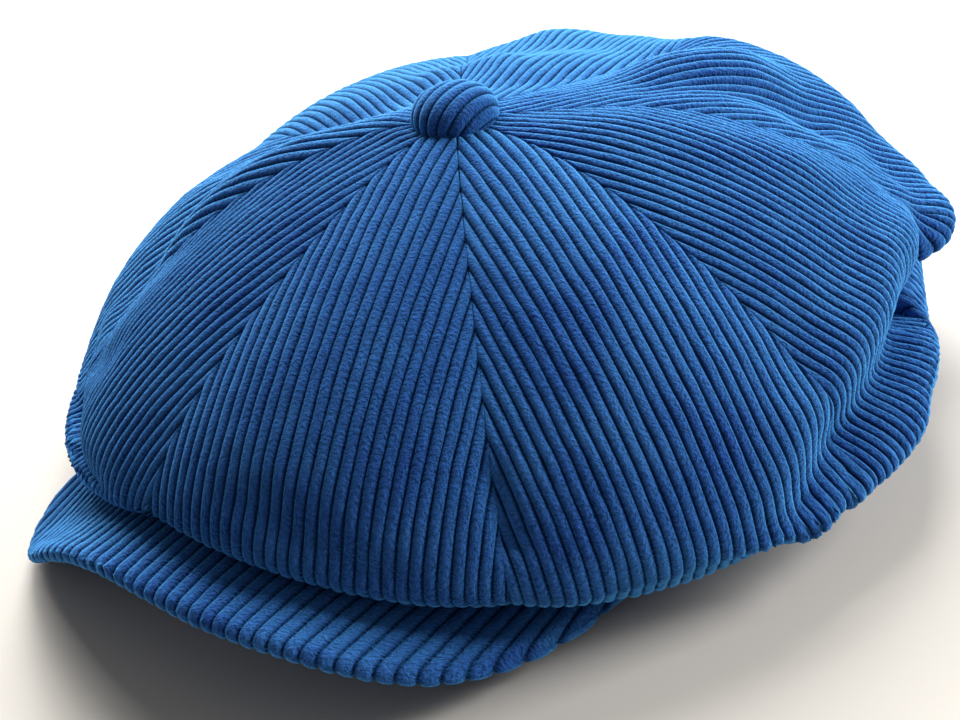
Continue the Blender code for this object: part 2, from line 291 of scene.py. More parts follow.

# %% [markdown]
# ## Corduroy
# Corduroy is a velvet cut into ribs. In the grooves there is only the dark ground cloth, and its
# colour there also holds painted shade for the recess. On the ribs the pile stands up, so it looks
# speckled from close by, deep blue when you look straight into it and much paler when you look along
# it. The groove comes from the rib value stored in the mesh, the speckle from the variation group,
# and the pale rim is a painted sheen from a Layer Weight node, with the shader's own sheen on top.
# The two front gores, which face into their pile, carry painted shade: a higher rib shade, which is
# deeper and less pale.

# %% Corduroy material
SHADE_STEPS = 5.0
DEEPEST_SHARE = 0.60
SHADE_DULLS_RIM = 1.4
RIB_BLUE = (0.030, 0.100, 0.460, 1)
RIB_DEEP = (0.002, 0.014, 0.115, 1)
# Pale blue for the random pile patches and for the painted sheen along the pile.
PATCH_AND_SHEEN_PALE = (0.120, 0.500, 1.000, 1)
# Groove colour: the ground cloth, made darker as painted shade in the recess.
GROOVE_GROUND_AND_SHADE = (0.0004, 0.006, 0.060, 1)
TUFT_SIZE = 0.00100
PATCH_SIZE = 0.030


def make_corduroy():
    """Ribs, grooves darkened with painted shade, tufts, painted sheen along the pile and painted
    shade on the front gores.
    """
    made, tree, shader = new_material("corduroy", {
        "Roughness": 0.9, "Specular IOR Level": 0.06, "Sheen Weight": 0.6,
        "Sheen Roughness": 0.5, "Sheen Tint": (0.08, 0.42, 1.0, 1)})
    place = add_node(tree, "UVMap", uv_map="cloth").outputs[0]
    rib = add_node(tree, "Attribute", attribute_name="rib").outputs["Fac"]
    shade = add_node(tree, "Attribute", attribute_name="rib_shade").outputs["Fac"]
    varied = vary(tree, place, TUFT_SIZE, PATCH_SIZE)
    body = mix_colour(tree, varied["Tufts"], RIB_DEEP, RIB_BLUE)
    lean = map_range(tree, varied["Patches"], new_high=0.22)
    body = mix_colour(tree, lean, body, PATCH_AND_SHEEN_PALE)
    # The rib shade holds each rib's random tone plus the painted shade of the front gores.
    each = map_range(tree, shade, high=SHADE_STEPS, new_high=DEEPEST_SHARE)
    body = mix_colour(tree, each, body, RIB_DEEP)
    # Painted sheen: seen at a grazing angle, the colour is mixed towards pale blue.
    along = add_node(tree, "LayerWeight", {"Blend": 0.42}).outputs["Facing"]
    rim = map_range(tree, along, 0.22, 0.88, new_high=0.95, curve="SMOOTHSTEP")
    speck = math_node(tree, "MULTIPLY_ADD", varied["Tufts"], 0.5, 0.5)
    rim = math_node(tree, "MULTIPLY", rim, speck)
    # The painted shade of the front gores also dims their painted sheen.
    sheen_after_shade = math_node(tree, "MULTIPLY_ADD", each, -SHADE_DULLS_RIM, 1.0)
    rim = math_node(tree, "MULTIPLY", rim, sheen_after_shade)
    body = mix_colour(tree, rim, body, PATCH_AND_SHEEN_PALE)
    # Painted shade: the low part of each rib takes the dark groove colour.
    raised = map_range(tree, rib, 0.30, 0.95, curve="SMOOTHSTEP")
    tree.links.new(mix_colour(tree, raised, GROOVE_GROUND_AND_SHADE, body), shader["Base Color"])
    add_bump(tree, shader, varied["Tufts"], 1.0, 0.0009)
    return made


corduroy = make_corduroy()
print("corduroy tufts", TUFT_SIZE / MM, "mm, patches", PATCH_SIZE / MM, "mm")

# %% [markdown]
# ## The plain cloths inside
# The lining is a navy satin: smooth, with fine diagonal threads and a soft shine along them. The
# sweatband and the hem tape are a cotton twill, where the diagonals are coarse enough to see. The
# interlining is pressed felt. All of them share one recipe of crossed bands with other numbers.

# %% Woven materials
def make_woven(name, light, dark, thread, slant, relief, constants):
    """Painted shade darkens the hollows between threads, patches vary the tone, and both raise a
    bump.
    """
    made, tree, shader = new_material(name, constants)
    place = add_node(tree, "UVMap", uv_map="cloth").outputs[0]
    varied = vary(tree, place, thread, 0.02)
    woven = use_group(tree, weave_group, {"Vector": place, "Thread": thread, "Slant": slant})
    # Painted shade: the weave's hollows take the dark colour, mixed with random patches of tone.
    tone = math_node(tree, "MULTIPLY_ADD", varied["Patches"], 0.3, woven["Height"])
    soft = map_range(tree, tone, high=1.5)
    tree.links.new(mix_colour(tree, soft, dark, light), shader["Base Color"])
    height = math_node(tree, "MULTIPLY_ADD", varied["Tufts"], 0.4, woven["Height"])
    add_bump(tree, shader, height, 0.6, relief)
    return made


satin = make_woven("lining_satin", (0.020, 0.035, 0.085, 1), (0.008, 0.014, 0.040, 1), 0.0003, 0.8,
                   0.00008, {"Roughness": 0.36, "Anisotropic": 0.5, "Sheen Weight": 0.2})
twill = make_woven("band_twill", (0.032, 0.045, 0.085, 1), (0.010, 0.016, 0.035, 1), 0.0007, 0.9,
                   0.0002, {"Roughness": 0.8, "Sheen Weight": 0.3})
felt = make_woven("interlining", (0.050, 0.062, 0.095, 1), (0.020, 0.027, 0.045, 1), 0.0008, 0.3,
                  0.0002, {"Roughness": 0.95})
card = make_woven("visor_board", (0.50, 0.42, 0.30, 1), (0.36, 0.29, 0.20, 1), 0.0012, 0.1,
                  0.0001, {"Roughness": 0.8})
label_cloth = make_woven("blank_label", (0.72, 0.71, 0.66, 1), (0.50, 0.49, 0.45, 1), 0.0004, 0.0,
                         0.0001, {"Roughness": 0.6, "Sheen Weight": 0.2})


def make_steel():
    """Bright rolled steel with fine random scratches in its roughness."""
    made, tree, shader = new_material("button_steel", {"Metallic": 1.0})
    place = add_node(tree, "TexCoord").outputs["Object"]
    varied = vary(tree, place, 0.0003, 0.004)
    rough = map_range(tree, varied["Tufts"], new_low=0.25, new_high=0.45)
    tree.links.new(rough, shader["Roughness"])
    tone = mix_colour(tree, varied["Patches"], (0.50, 0.50, 0.48, 1), (0.66, 0.66, 0.65, 1))
    tree.links.new(tone, shader["Base Color"])
    return made


steel = make_steel()
print("materials:", [made.name for made in bpy.data.materials])


def finish_piece(piece, made, node=None, body=None):
    """Give a piece its material, the body it rides on and the node it replaces."""
    piece.data.materials.append(made)
    if body:
        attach(piece, body)
    if node:
        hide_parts(node)


# %% [markdown]
# ## The crown's shape
# A newsboy crown is a wide, low dome whose edge folds under and runs back to the headband. I keep
# the same formula as the frame: a direction round the head and a distance along the cloth, where 0
# is the button, 1 is the widest line and 2 is the hem. What the frame leaves out are the soft
# parts: each gore puffs up between its seams, and the cloth sags into a few long folds.

# %% Head and crown dimensions
HEAD_HALF_WIDTH = 0.086
HEAD_HALF_LENGTH = 0.101
HEM_RISE = 0.023
HEM_ARCH_RATE = 1.2
GORES = 8
CROWN_REACH = 0.134
CROWN_TOP = (0.003, -0.004, 0.101)
EDGE_HEIGHT = 0.022
EDGE_SADDLE = 0.007
EDGE_PITCH = 0.006
DOME_POWER = 1.8
DOME_POWER_FRONT = -0.3
DOME_ROUNDNESS = 0.65
FOLD_DEPTH = 0.008
FOLD_DEPTH_FRONT_LOSS = 0.003
FOLD_RADIUS = 0.013
FOLD_SHARE = 0.4
UNDERSIDE_POWER = 1.3
WING_FADE_ANGLE = math.radians(8)
VISOR_WING_ANGLE = math.radians(64)
VISOR_FAN_ANGLE = math.radians(68)
VISOR_HALF_WIDTH_LEFT = 0.100
VISOR_HALF_WIDTH_RIGHT = 0.085
VISOR_REACH = 0.1505
VISOR_SIDE_Y = 0.047
VISOR_SQUARENESS_LEFT = 3.0
VISOR_SQUARENESS_RIGHT = 3.5
VISOR_WING_TAPER = 0.02
VISOR_END_Z = 0.0055
VISOR_ARCH = 0.0255
VISOR_TWIST_LEFT = 0.0036
VISOR_TWIST_RIGHT = 0.020
VISOR_LOWEST = 0.0034
VISOR_LOWEST_SOFTNESS = 0.002
VISOR_BOW = 0.0012
VISOR_SEAT = 0.005
VISOR_EDGE_OFFSET = 0.004
VISOR_HALF_THICKNESS = 0.0028
CROWN_EDGE_OFFSET = 0.0048
CROWN_EDGE_LIFT = 0.0013
VISOR_ROOM = 0.0105
CROWN_ON_VISOR_GAP = 0.0022
VISOR_REST_SHARES = (0.3, 0.6)
REST_SOFTNESS = 0.0008
print("crown", round(2 * CROWN_REACH / MM), "mm across")

# %% Crown and visor formulas
def on_opening(angle, offset):
    """Point of the head's ellipse, moved outwards by offset. Angle 0 is the front."""
    return (HEAD_HALF_WIDTH + offset) * np.sin(angle), -(HEAD_HALF_LENGTH + offset) * np.cos(angle)


def hem_height(angle):
    """The hem is flat at the sides and back and arches up over the visor as a squared cosine."""
    turned = np.clip(np.abs(turn_difference(angle, 0.0)) * HEM_ARCH_RATE, 0.0, math.pi / 2)
    return HEM_RISE * np.cos(turned) ** 2


def visor_zone(angle):
    """1 over the visor's seam, easing to 0 just past its wing ends."""
    past = np.abs(turn_difference(angle, 0.0)) - VISOR_WING_ANGLE
    return 1.0 - ease(past / WING_FADE_ANGLE)


def visor_outline(side):
    """The visor's outer edge: a squarish oval whose ends turn in, arched up and slightly twisted."""
    turn = side * math.pi / 2
    left = side > 0
    half_width = np.where(left, VISOR_HALF_WIDTH_LEFT, VISOR_HALF_WIDTH_RIGHT)
    squareness = np.where(left, VISOR_SQUARENESS_LEFT, VISOR_SQUARENESS_RIGHT)
    across = np.sign(turn) * np.abs(np.sin(turn)) ** (2 / squareness)
    ahead = np.clip(np.cos(turn), 0.0, 1.0) ** (2 / squareness)
    x = half_width * across * (1.0 - VISOR_WING_TAPER * (1.0 - ahead) ** 4)
    y = -(VISOR_SIDE_Y + (VISOR_REACH - VISOR_SIDE_Y) * ahead)
    arch = VISOR_ARCH * np.clip(1.0 - side ** 2, 0.0, 1.0) ** 3
    amount = np.where(left, VISOR_TWIST_LEFT, VISOR_TWIST_RIGHT)
    twist = amount * np.sin(side * math.pi) * np.sqrt(np.clip(1.0 - side ** 2, 0.0, 1.0))
    free = VISOR_END_Z + arch + twist - VISOR_LOWEST
    lift = np.logaddexp(0.0, free / VISOR_LOWEST_SOFTNESS)
    return x, y, VISOR_LOWEST + VISOR_LOWEST_SOFTNESS * lift


def visor_point(side, out):
    """The visor's middle surface: straight lines from the headband to the outline, bowed a little."""
    in_x, in_y = on_opening(side * VISOR_WING_ANGLE, VISOR_EDGE_OFFSET)
    in_z = hem_height(side * VISOR_WING_ANGLE) + VISOR_SEAT
    out_x, out_y, out_z = visor_outline(side)
    bow = VISOR_BOW * np.sin(np.clip(out, 0.0, 1.0) * math.pi) * (1.0 - side ** 2)
    rise = 0.5 * ease(out) + 0.5 * out
    return (in_x + (out_x - in_x) * out, in_y + (out_y - in_y) * out,
            in_z + (out_z - in_z) * rise + bow)


def fold_bottom_height(angle):
    """Lowest line of the folded edge. Over the visor it rests on the visor."""
    free = EDGE_HEIGHT + EDGE_SADDLE * np.cos(2 * angle) - EDGE_PITCH * np.cos(angle)
    side = np.clip(turn_difference(angle, 0.0) / VISOR_FAN_ANGLE, -1.0, 1.0)
    near, far = VISOR_REST_SHARES
    middle = np.maximum(visor_point(side, near)[2], visor_point(side, far)[2])
    rest = (middle + VISOR_HALF_THICKNESS + CROWN_ON_VISOR_GAP) * visor_zone(angle)
    return REST_SOFTNESS * np.logaddexp(free / REST_SOFTNESS, rest / REST_SOFTNESS)


def plain_crown(angle, along):
    """Outer face of the crown without folds: a superellipse dome, a quarter-round fold, then the
    underside that runs back to the hem."""
    depth = FOLD_DEPTH - FOLD_DEPTH_FRONT_LOSS * np.clip(np.cos(angle), 0.0, 1.0) ** 2
    bottom_z = fold_bottom_height(angle)
    widest_z = bottom_z + depth
    power = DOME_POWER + DOME_POWER_FRONT * np.cos(angle)
    out = np.sin(np.clip(along, 0.0, 1.0) * math.pi / 2)
    fall = 1.0 - np.clip(1.0 - out ** power, 0.0, 1.0) ** DOME_ROUNDNESS
    top = [CROWN_TOP[0] + (CROWN_REACH * np.sin(angle) - CROWN_TOP[0]) * out,
           CROWN_TOP[1] + (-CROWN_REACH * np.cos(angle) - CROWN_TOP[1]) * out,
           CROWN_TOP[2] - (CROWN_TOP[2] - widest_z) * fall]
    under = np.clip(along - 1.0, 0.0, 1.0)
    turn = np.clip(under / FOLD_SHARE, 0.0, 1.0) * math.pi / 2
    back = np.clip((under - FOLD_SHARE) / (1.0 - FOLD_SHARE), 0.0, 1.0)
    hem_x, hem_y = on_opening(angle, CROWN_EDGE_OFFSET)
    hem_z = hem_height(angle) + CROWN_EDGE_LIFT + VISOR_ROOM * visor_zone(angle)
    fold = CROWN_REACH - FOLD_RADIUS * (1.0 - np.cos(turn))
    low = [fold * np.sin(angle) + (hem_x - fold * np.sin(angle)) * back,
           -fold * np.cos(angle) + (hem_y + fold * np.cos(angle)) * back,
           widest_z - depth * np.sin(turn) + (hem_z - bottom_z) * back ** UNDERSIDE_POWER]
    over = along > 1.0
    return np.stack([np.where(over, b, a) for a, b in zip(top, low)], axis=-1)


def outward(surface, angle, along, step=0.004):
    """Unit normals of surface(angle, along) from the cross product of its two slopes."""
    round_head = surface(angle + step, along) - surface(angle - step, along)
    down_cloth = surface(angle, along + step) - surface(angle, along - step)
    return unit(np.cross(down_cloth, round_head))


# %% [markdown]
# ## Puffs and folds
# A fold is a long soft hill or valley on the plain dome. I describe each as a short path over the
# cap, given as direction round the head in degrees, distance along the cloth and height, and a
# width. A point's height is the path's height times a bell curve of its distance from the path.
# The puff is a flattened arch from seam to seam: seams are pulled in, middles stand out a little.

# %% Puffs and folds
GORE_ANGLE = 2 * math.pi / GORES
GORE_PUFF = 3.2 * MM
SEAM_SHARE = 0.62
PUFF_POWER = 2.2
ALONG_LENGTH = 0.15
ALONG_ENDS = (0.02, 1.99)

# Each fold: bell width in mm, then path points of (degrees, along, height in mm).
FOLDS = (
    (11.0, (125, 1.10, -22.0), (124, 0.92, -22.0), (114, 0.84, -14.0), (100, 0.84, -8.0),
     (89, 0.87, -6.0), (80, 0.95, -2.5)),
    (14.0, (128, 1.12, -12.0), (126, 0.98, -10.0)),
    (9.0, (-72, 0.34, -1.5), (-58, 0.50, -2.0), (-48, 0.58, -1.5)),
    (10.0, (-50, 0.76, 2.0), (-34, 0.78, 1.5)),
    (14.0, (-33, 0.92, -6.0), (-16, 0.97, -4.0)),
    (18.0, (-148, 0.44, -4.0), (-162, 0.48, -5.5), (-176, 0.46, -3.0)),
    (9.0, (-128, 0.26, 4.0), (-147, 0.28, 4.0)),
    (12.0, (178, 0.57, 5.0), (170, 0.64, 3.5), (158, 0.76, 2.0)),
    (10.0, (138, 0.92, 4.0), (134, 0.98, 4.0)),
    (11.0, (100, 1.06, 2.0), (90, 1.10, 2.0)),
    (9.0, (115, 1.03, -3.0), (107, 1.05, -2.0)),
    (9.0, (58, 1.14, -2.0), (76, 1.14, -2.0)),
    (9.0, (137, 0.80, 3.0), (116, 0.70, 3.5), (100, 0.72, 3.5), (86, 0.77, 3.0), (77, 0.85, 1.5)),
    (15.0, (144, 0.92, 5.0), (137, 0.94, 6.0)),
    (16.0, (106, 1.00, 2.0), (96, 1.04, 4.0), (80, 1.06, 6.0)),
    (4.0, (45, 0.66, -2.2), (46, 0.80, -2.6)),
    (3.5, (81, 0.95, -2.0), (76, 1.10, -2.0)),
    (3.5, (88, 0.97, -1.6), (84, 1.10, -1.6)),
    (9.0, (-58, 0.12, 1.5), (-54, 0.25, 3.0), (-50, 0.42, 2.5), (-46, 0.60, 1.0)),
    (13.0, (-110, 0.20, -5.0), (-90, 0.24, -8.0), (-78, 0.46, -3.0)),
    (30.0, (-125, 0.30, -6.0), (-100, 0.34, -4.0), (-70, 0.50, -2.0), (-52, 0.62, -6.0)),
    (24.0, (-34, 0.84, -5.0), (-48, 0.84, -4.0)),
    (9.0, (-36, 0.72, -2.0), (-28, 0.66, -2.0)),
    (30.0, (182, 0.28, -8.5), (200, 0.32, -5.0)),
    (12.0, (163, 0.36, 4.5), (160, 0.50, 5.0), (156, 0.62, 2.0)),
    (20.0, (150, 0.62, -6.0), (146, 0.72, -4.0)),
    (8.0, (150, 0.30, -2.0), (146, 0.60, -3.0)),
    (10.0, (118, 0.25, 1.5), (124, 0.50, 2.0)),
    (9.0, (16, 0.80, -1.5), (30, 0.90, -1.5)),
    (16.0, (133, 0.80, -4.0), (140, 0.84, -4.0)),
    (14.0, (58, 1.00, -2.5), (72, 1.04, -2.0)),
    (12.0, (-110, 0.70, -4.0), (-125, 0.90, -5.0)),
    (10.0, (-150, 0.60, 2.5), (-160, 0.90, 3.0)),
    (10.0, (-170, 0.75, -3.0), (170, 0.92, -4.0)),
)


def fold_height(angle, along, width, path):
    """Height at each point: the nearest path point's height under a bell curve."""
    radius = CROWN_REACH * np.sin(np.clip(along, 0.0, 1.0) * math.pi / 2)
    nearest = np.full(np.broadcast(angle, along).shape, 1.0)
    height = np.zeros_like(nearest)
    for (a, s, high), (b, t, next_high) in zip(path, path[1:]):
        a, b = math.radians(a), math.radians(b)
        run = np.stack([turn_difference(b, a) * radius, (t - s) * ALONG_LENGTH + 0 * radius])
        here = np.stack([turn_difference(angle, a) * radius, (along - s) * ALONG_LENGTH])
        share = np.clip((run * here).sum(axis=0) / np.maximum((run * run).sum(axis=0), 1e-9), 0, 1)
        distance = np.linalg.norm(here - run * share, axis=0)
        closer = distance < nearest
        nearest = np.where(closer, distance, nearest)
        height = np.where(closer, high + (next_high - high) * share, height)
    return height * MM * np.exp(-(nearest / (width * MM)) ** 2)


def fold_field(angle, along):
    """Height in metres of all puffs and folds, to be added along the normal."""
    share = ((angle / GORE_ANGLE) % 1.0) * 2.0 - 1.0
    reach = ease(along / 0.5) * (1.0 - 0.8 * ease((along - 1.1) / 0.7))
    height = GORE_PUFF * (1.0 - SEAM_SHARE - np.abs(share) ** PUFF_POWER) * reach
    fade = 1.0 - ease((along - 1.15) / 0.35)
    for width, *path in FOLDS:
        height = height + fold_height(angle, along, width, path) * fade
    return height


def crown_surface(angle, along):
    """The crown with its puffs and folds."""
    base = plain_crown(angle, along)
    normal = outward(plain_crown, angle, np.clip(along, *ALONG_ENDS))
    return base + normal * fold_field(angle, along)[..., None]


print(len(FOLDS), "folds")

# %% [markdown]
# ## Ribs laid along each gore
# On the real cap the ribs run along the middle line of every gore, and the seams cut them off at a
# slant, so the ribs of two gores meet in arrowheads that point at the button. I lay the mesh the
# same way. A column of points follows one line of constant distance from the gore's middle, from
# the seam above to the seam or hem below. Seven columns make one rib: a narrow deep groove and a
# round back. Near the seams each rib dips and ends in a round tip.

# %% Rib profile
WALE_PITCH = 3.5 * MM
SIDE_PITCH = 3.0 * MM
VISOR_PITCH = 4.2 * MM
WALE_HEIGHT = 1.2 * MM
WALE_STATIONS = np.array([0.0, 0.10, 0.24, 0.41, 0.59, 0.76, 0.90])
SEAM_DIP = 0.6 * MM
TIP_LENGTH = 1.7 * MM
CLOTH_BACK = 2.0 * MM
EDGE_INSET = 0.02 * MM
EDGE_ROOM = 0.15 * MM
RIB_POWER = 2.1
RANDOM_RIBS = 400


def rib_back(share):
    """Height of a rib across its width, 0 in the groove and 1 on its back: a flattened arch."""
    return np.sqrt(np.clip(1.0 - np.abs(2.0 * share - 1.0) ** RIB_POWER, 0.0, 1.0))


def rib_columns(half_width, pitch=WALE_PITCH, low=None):
    """Offsets from the middle line, rib shares and rib numbers of all columns, from minus
    half_width, or from low, to half_width."""
    low = -half_width if low is None else low
    ribs = int(math.ceil(max(half_width, -low) / pitch))
    starts = np.arange(-ribs, ribs) * pitch
    offsets = (starts[:, None] + WALE_STATIONS[None, :] * pitch).reshape(-1)
    shares = np.tile(WALE_STATIONS, 2 * ribs)
    number = np.repeat(np.arange(2 * ribs), len(WALE_STATIONS))
    keep = (offsets < half_width - EDGE_ROOM) & (offsets > low + EDGE_ROOM)
    ends = low + EDGE_INSET, half_width - EDGE_INSET
    return (np.concatenate([ends[:1], offsets[keep], ends[1:]]),
            np.concatenate([[0.0], shares[keep], [0.0]]),
            np.concatenate([number[keep][:1], number[keep], number[keep][-1:]]))


def wander(position, number, seed, wavelength):
    """A smooth wave along each rib, a sum of three sines with random phases, from -1 to 1."""
    phase = (np.random.default_rng(seed).random((RANDOM_RIBS, 3)) * 2 * math.pi)[number % RANDOM_RIBS]
    k = 2 * math.pi / wavelength
    wave = (np.sin(k * position + phase[..., 0]) + 0.7 * np.sin(1.9 * k * position + phase[..., 1])
            + 0.5 * np.sin(3.1 * k * position + phase[..., 2]))
    return wave / 2.2


def round_tip(distance, length):
    """0 at an end and 1 a length away, along a quarter circle."""
    return np.sqrt(np.clip(1.0 - (1.0 - np.clip(distance / length, 0.0, 1.0)) ** 2, 0.0, 1.0))


def rib_shades(number, rows, seed):
    """One random tone for each rib, repeated along its rows."""
    tones = np.random.default_rng(seed).random(RANDOM_RIBS)[number % RANDOM_RIBS]
    return np.repeat(tones[:, None], rows, axis=1)


# %% Build the eight gores
GORE_START = 0.03
GORE_ROWS = 116
SEAM_OVERLAP = 1.006
SIDE_GORES = (2, 3, 4, 5)
# The front gores get painted shade, added to their rib shade value.
FRONT_GORES = (0, 7)
FRONT_PAINTED_SHADE = 2.2
GORE_NAMES = ("left_front", "left_front_side", "left_rear_side", "left_rear",
              "right_rear", "right_rear_side", "right_front_side", "right_front")


def gore_tables(middle):
    """Cloth length down a gore's middle line and its half width there, at many stations."""
    along = np.linspace(GORE_START, 2.0, 600)
    line = plain_crown(np.full_like(along, middle), along)
    length = np.concatenate([[0.0], np.cumsum(np.linalg.norm(np.diff(line, axis=0), axis=1))])
    fan = middle + np.linspace(0.0, GORE_ANGLE / 2, 13)
    across = plain_crown(fan[:, None], along[None, :])
    half = np.linalg.norm(np.diff(across, axis=0), axis=2).sum(axis=0)
    return along, length, half


def build_gore(index):
    """One gore as columns of points along its ribs."""
    middle = GORE_ANGLE * (index + 0.5)
    along, length, half = gore_tables(middle)
    widest = int(np.argmax(half))
    pitch = SIDE_PITCH if index in SIDE_GORES else WALE_PITCH
    offset, share, number = rib_columns(half[widest], pitch)
    reach = np.abs(offset)
    start = np.interp(reach, half[:widest + 1], length[:widest + 1])[:, None]
    end = np.interp(-reach, -half[widest:], length[widest:])[:, None]
    row = np.linspace(0.0, 1.0, GORE_ROWS)
    row = 0.2 * row + 0.8 * (0.5 - 0.5 * np.cos(row * math.pi))
    place = start + (end - start) * row[None, :]
    ids = np.repeat(number[:, None] + index * 40, GORE_ROWS, axis=1)
    drift = 0.20 * MM * wander(place, ids, 3, 0.045)
    width_here = np.interp(place, length, half)
    cross = np.clip((offset[:, None] + drift) / width_here, -1.0, 1.0) * SEAM_OVERLAP
    station = np.interp(place, length, along)
    angle = middle + cross * GORE_ANGLE / 2
    surface = crown_surface(angle, station)
    normal = outward(crown_surface, angle, np.clip(station, *ALONG_ENDS))
    tip = round_tip(np.minimum(place - start, end - place), TIP_LENGTH)
    plump = 1.0 + 0.12 * wander(place, ids, 5, 0.021)
    back = rib_back(share)[:, None] * tip
    height = WALE_HEIGHT * (plump * back - 0.5) - SEAM_DIP * (1.0 - tip)
    points = surface + normal * height[..., None]
    inner = surface - normal * CLOTH_BACK
    uv = np.stack([offset[:, None] + 0 * place + index * 0.3, place], axis=-1)
    # Painted shade on the front gores: a raised rib shade value.
    front_shade = FRONT_PAINTED_SHADE if index in FRONT_GORES else 0.0
    values = {"rib": back, "rib_shade": rib_shades(number + index * 40, GORE_ROWS, 11) + front_shade}
    piece = shell_grid(f"corduroy_gore_{GORE_NAMES[index]}", points, inner, uv, values, flip=True)
    area = 2.0 * float(np.sum(0.5 * (half[1:] + half[:-1]) * np.diff(length)))
    return piece, (2.0 * float(half[widest]), float(length[-1])), area


for index in range(GORES):
    piece, flat, area = build_gore(index)
    finish_piece(piece, corduroy, f"crown_gore_{GORE_NAMES[index]}", "cap")
    print(piece.name, "flat", [round(v / MM) for v in flat], "mm,", len(piece.data.polygons))

# %% [markdown]
# ## The visor
# The visor is a card sewn between two corduroy covers. Its ribs run from the headband to the front
# edge and roll over it. They are straight and lean a little to one side, because the visor lies
# twisted: x grows by a fixed share of the way forwards. The height over any x and y comes from a
# polynomial fitted to the frame's own visor formula, which is smooth and quick. The rounded edge
# is a quarter ellipse of the distance to the outline, and the top cover carries on under the edge
# for a few millimetres, where it is seamed to the lower cover.

# %% Visor surface
VISOR_ROLL = 3.4 * MM
VISOR_THICK = 2.7 * MM
VISOR_ROWS = 76
ROLL_ROWS = 9
ROLL_ANGLE = math.radians(72)
VISOR_CLOTH = 1.1 * MM
VISOR_UNIT = 0.1
RIB_SKEW = 0.22
EDGE_STEP = 3
UNDER_SCALE = 0.985


def visor_terms(x, y):
    """Powers of x and y up to the sixth and fourth, in decimetres."""
    x, y = x / VISOR_UNIT, (y + VISOR_UNIT) / VISOR_UNIT
    return np.stack([x ** i * y ** j for i in range(7) for j in range(5) if i + j < 8], axis=-1)


sides, outs = np.meshgrid(np.linspace(-0.985, 0.985, 161), np.linspace(0.0, 1.0, 31))
sample_x, sample_y, sample_z = (part.reshape(-1) for part in visor_point(sides, outs))
visor_fit = np.linalg.lstsq(visor_terms(sample_x, sample_y), sample_z, rcond=None)[0]
misfit = visor_terms(sample_x, sample_y) @ visor_fit - sample_z
print("visor fit error", round(float(np.abs(misfit).max()) / MM, 2), "mm")

edge_side = np.sin(np.linspace(-1.0, 1.0, 1401) * math.pi / 2)
edge_x, edge_y, _ = visor_outline(edge_side)
edge_rib = edge_x + RIB_SKEW * edge_y
first_x, last_x = int(np.argmin(edge_rib)), int(np.argmax(edge_rib))
RIGHT_END, LEFT_END = float(edge_rib[first_x]), float(edge_rib[last_x])
front_rib, front_y = edge_rib[first_x:last_x + 1], edge_y[first_x:last_x + 1]
wing = np.linspace(-VISOR_WING_ANGLE, VISOR_WING_ANGLE, 200)
inner_x, inner_y = on_opening(wing, VISOR_EDGE_OFFSET)
inner_rib = inner_x + RIB_SKEW * inner_y
rear_rib = np.concatenate([edge_rib[:first_x + 1][::-1], inner_rib, edge_rib[last_x:][::-1]])
rear_y = np.concatenate([edge_y[:first_x + 1][::-1], inner_y, edge_y[last_x:][::-1]])
edge_line = np.stack([edge_x, edge_y], axis=-1)[::EDGE_STEP]
edge_way = unit(np.gradient(edge_line, axis=0))
edge_out = np.stack([edge_way[:, 1], -edge_way[:, 0]], axis=-1)


def to_edge(x, y):
    """Distance in plan to the visor's outer edge, and the edge's outward direction there."""
    dx = x[..., None].astype(np.float32) - edge_line[:, 0].astype(np.float32)
    dy = y[..., None].astype(np.float32) - edge_line[:, 1].astype(np.float32)
    squared = dx * dx + dy * dy
    nearest = squared.argmin(axis=-1)
    return np.sqrt(squared.min(axis=-1)).astype(float), edge_out[nearest]


def lean_out(way, lean):
    """Unit vectors that lean from straight up towards a plan direction."""
    return np.concatenate([way * np.sin(lean)[..., None], np.cos(lean)[..., None]], axis=-1)


def visor_plan(offset, rows, scale):
    """Plan points on each rib line, from the rear edge to the front edge, closer in front."""
    start = np.interp(offset / scale, rear_rib, rear_y) * scale
    stop = np.interp(offset / scale, front_rib, front_y) * scale
    row = np.linspace(0.0, 1.0, rows)
    row = 0.45 * row + 0.55 * np.sin(row * math.pi / 2)
    y = start[:, None] + (stop - start)[:, None] * row[None, :]
    return offset[:, None] - RIB_SKEW * y, y


print("visor", round(float(edge_x.max() - edge_x.min()) / MM), "mm across")

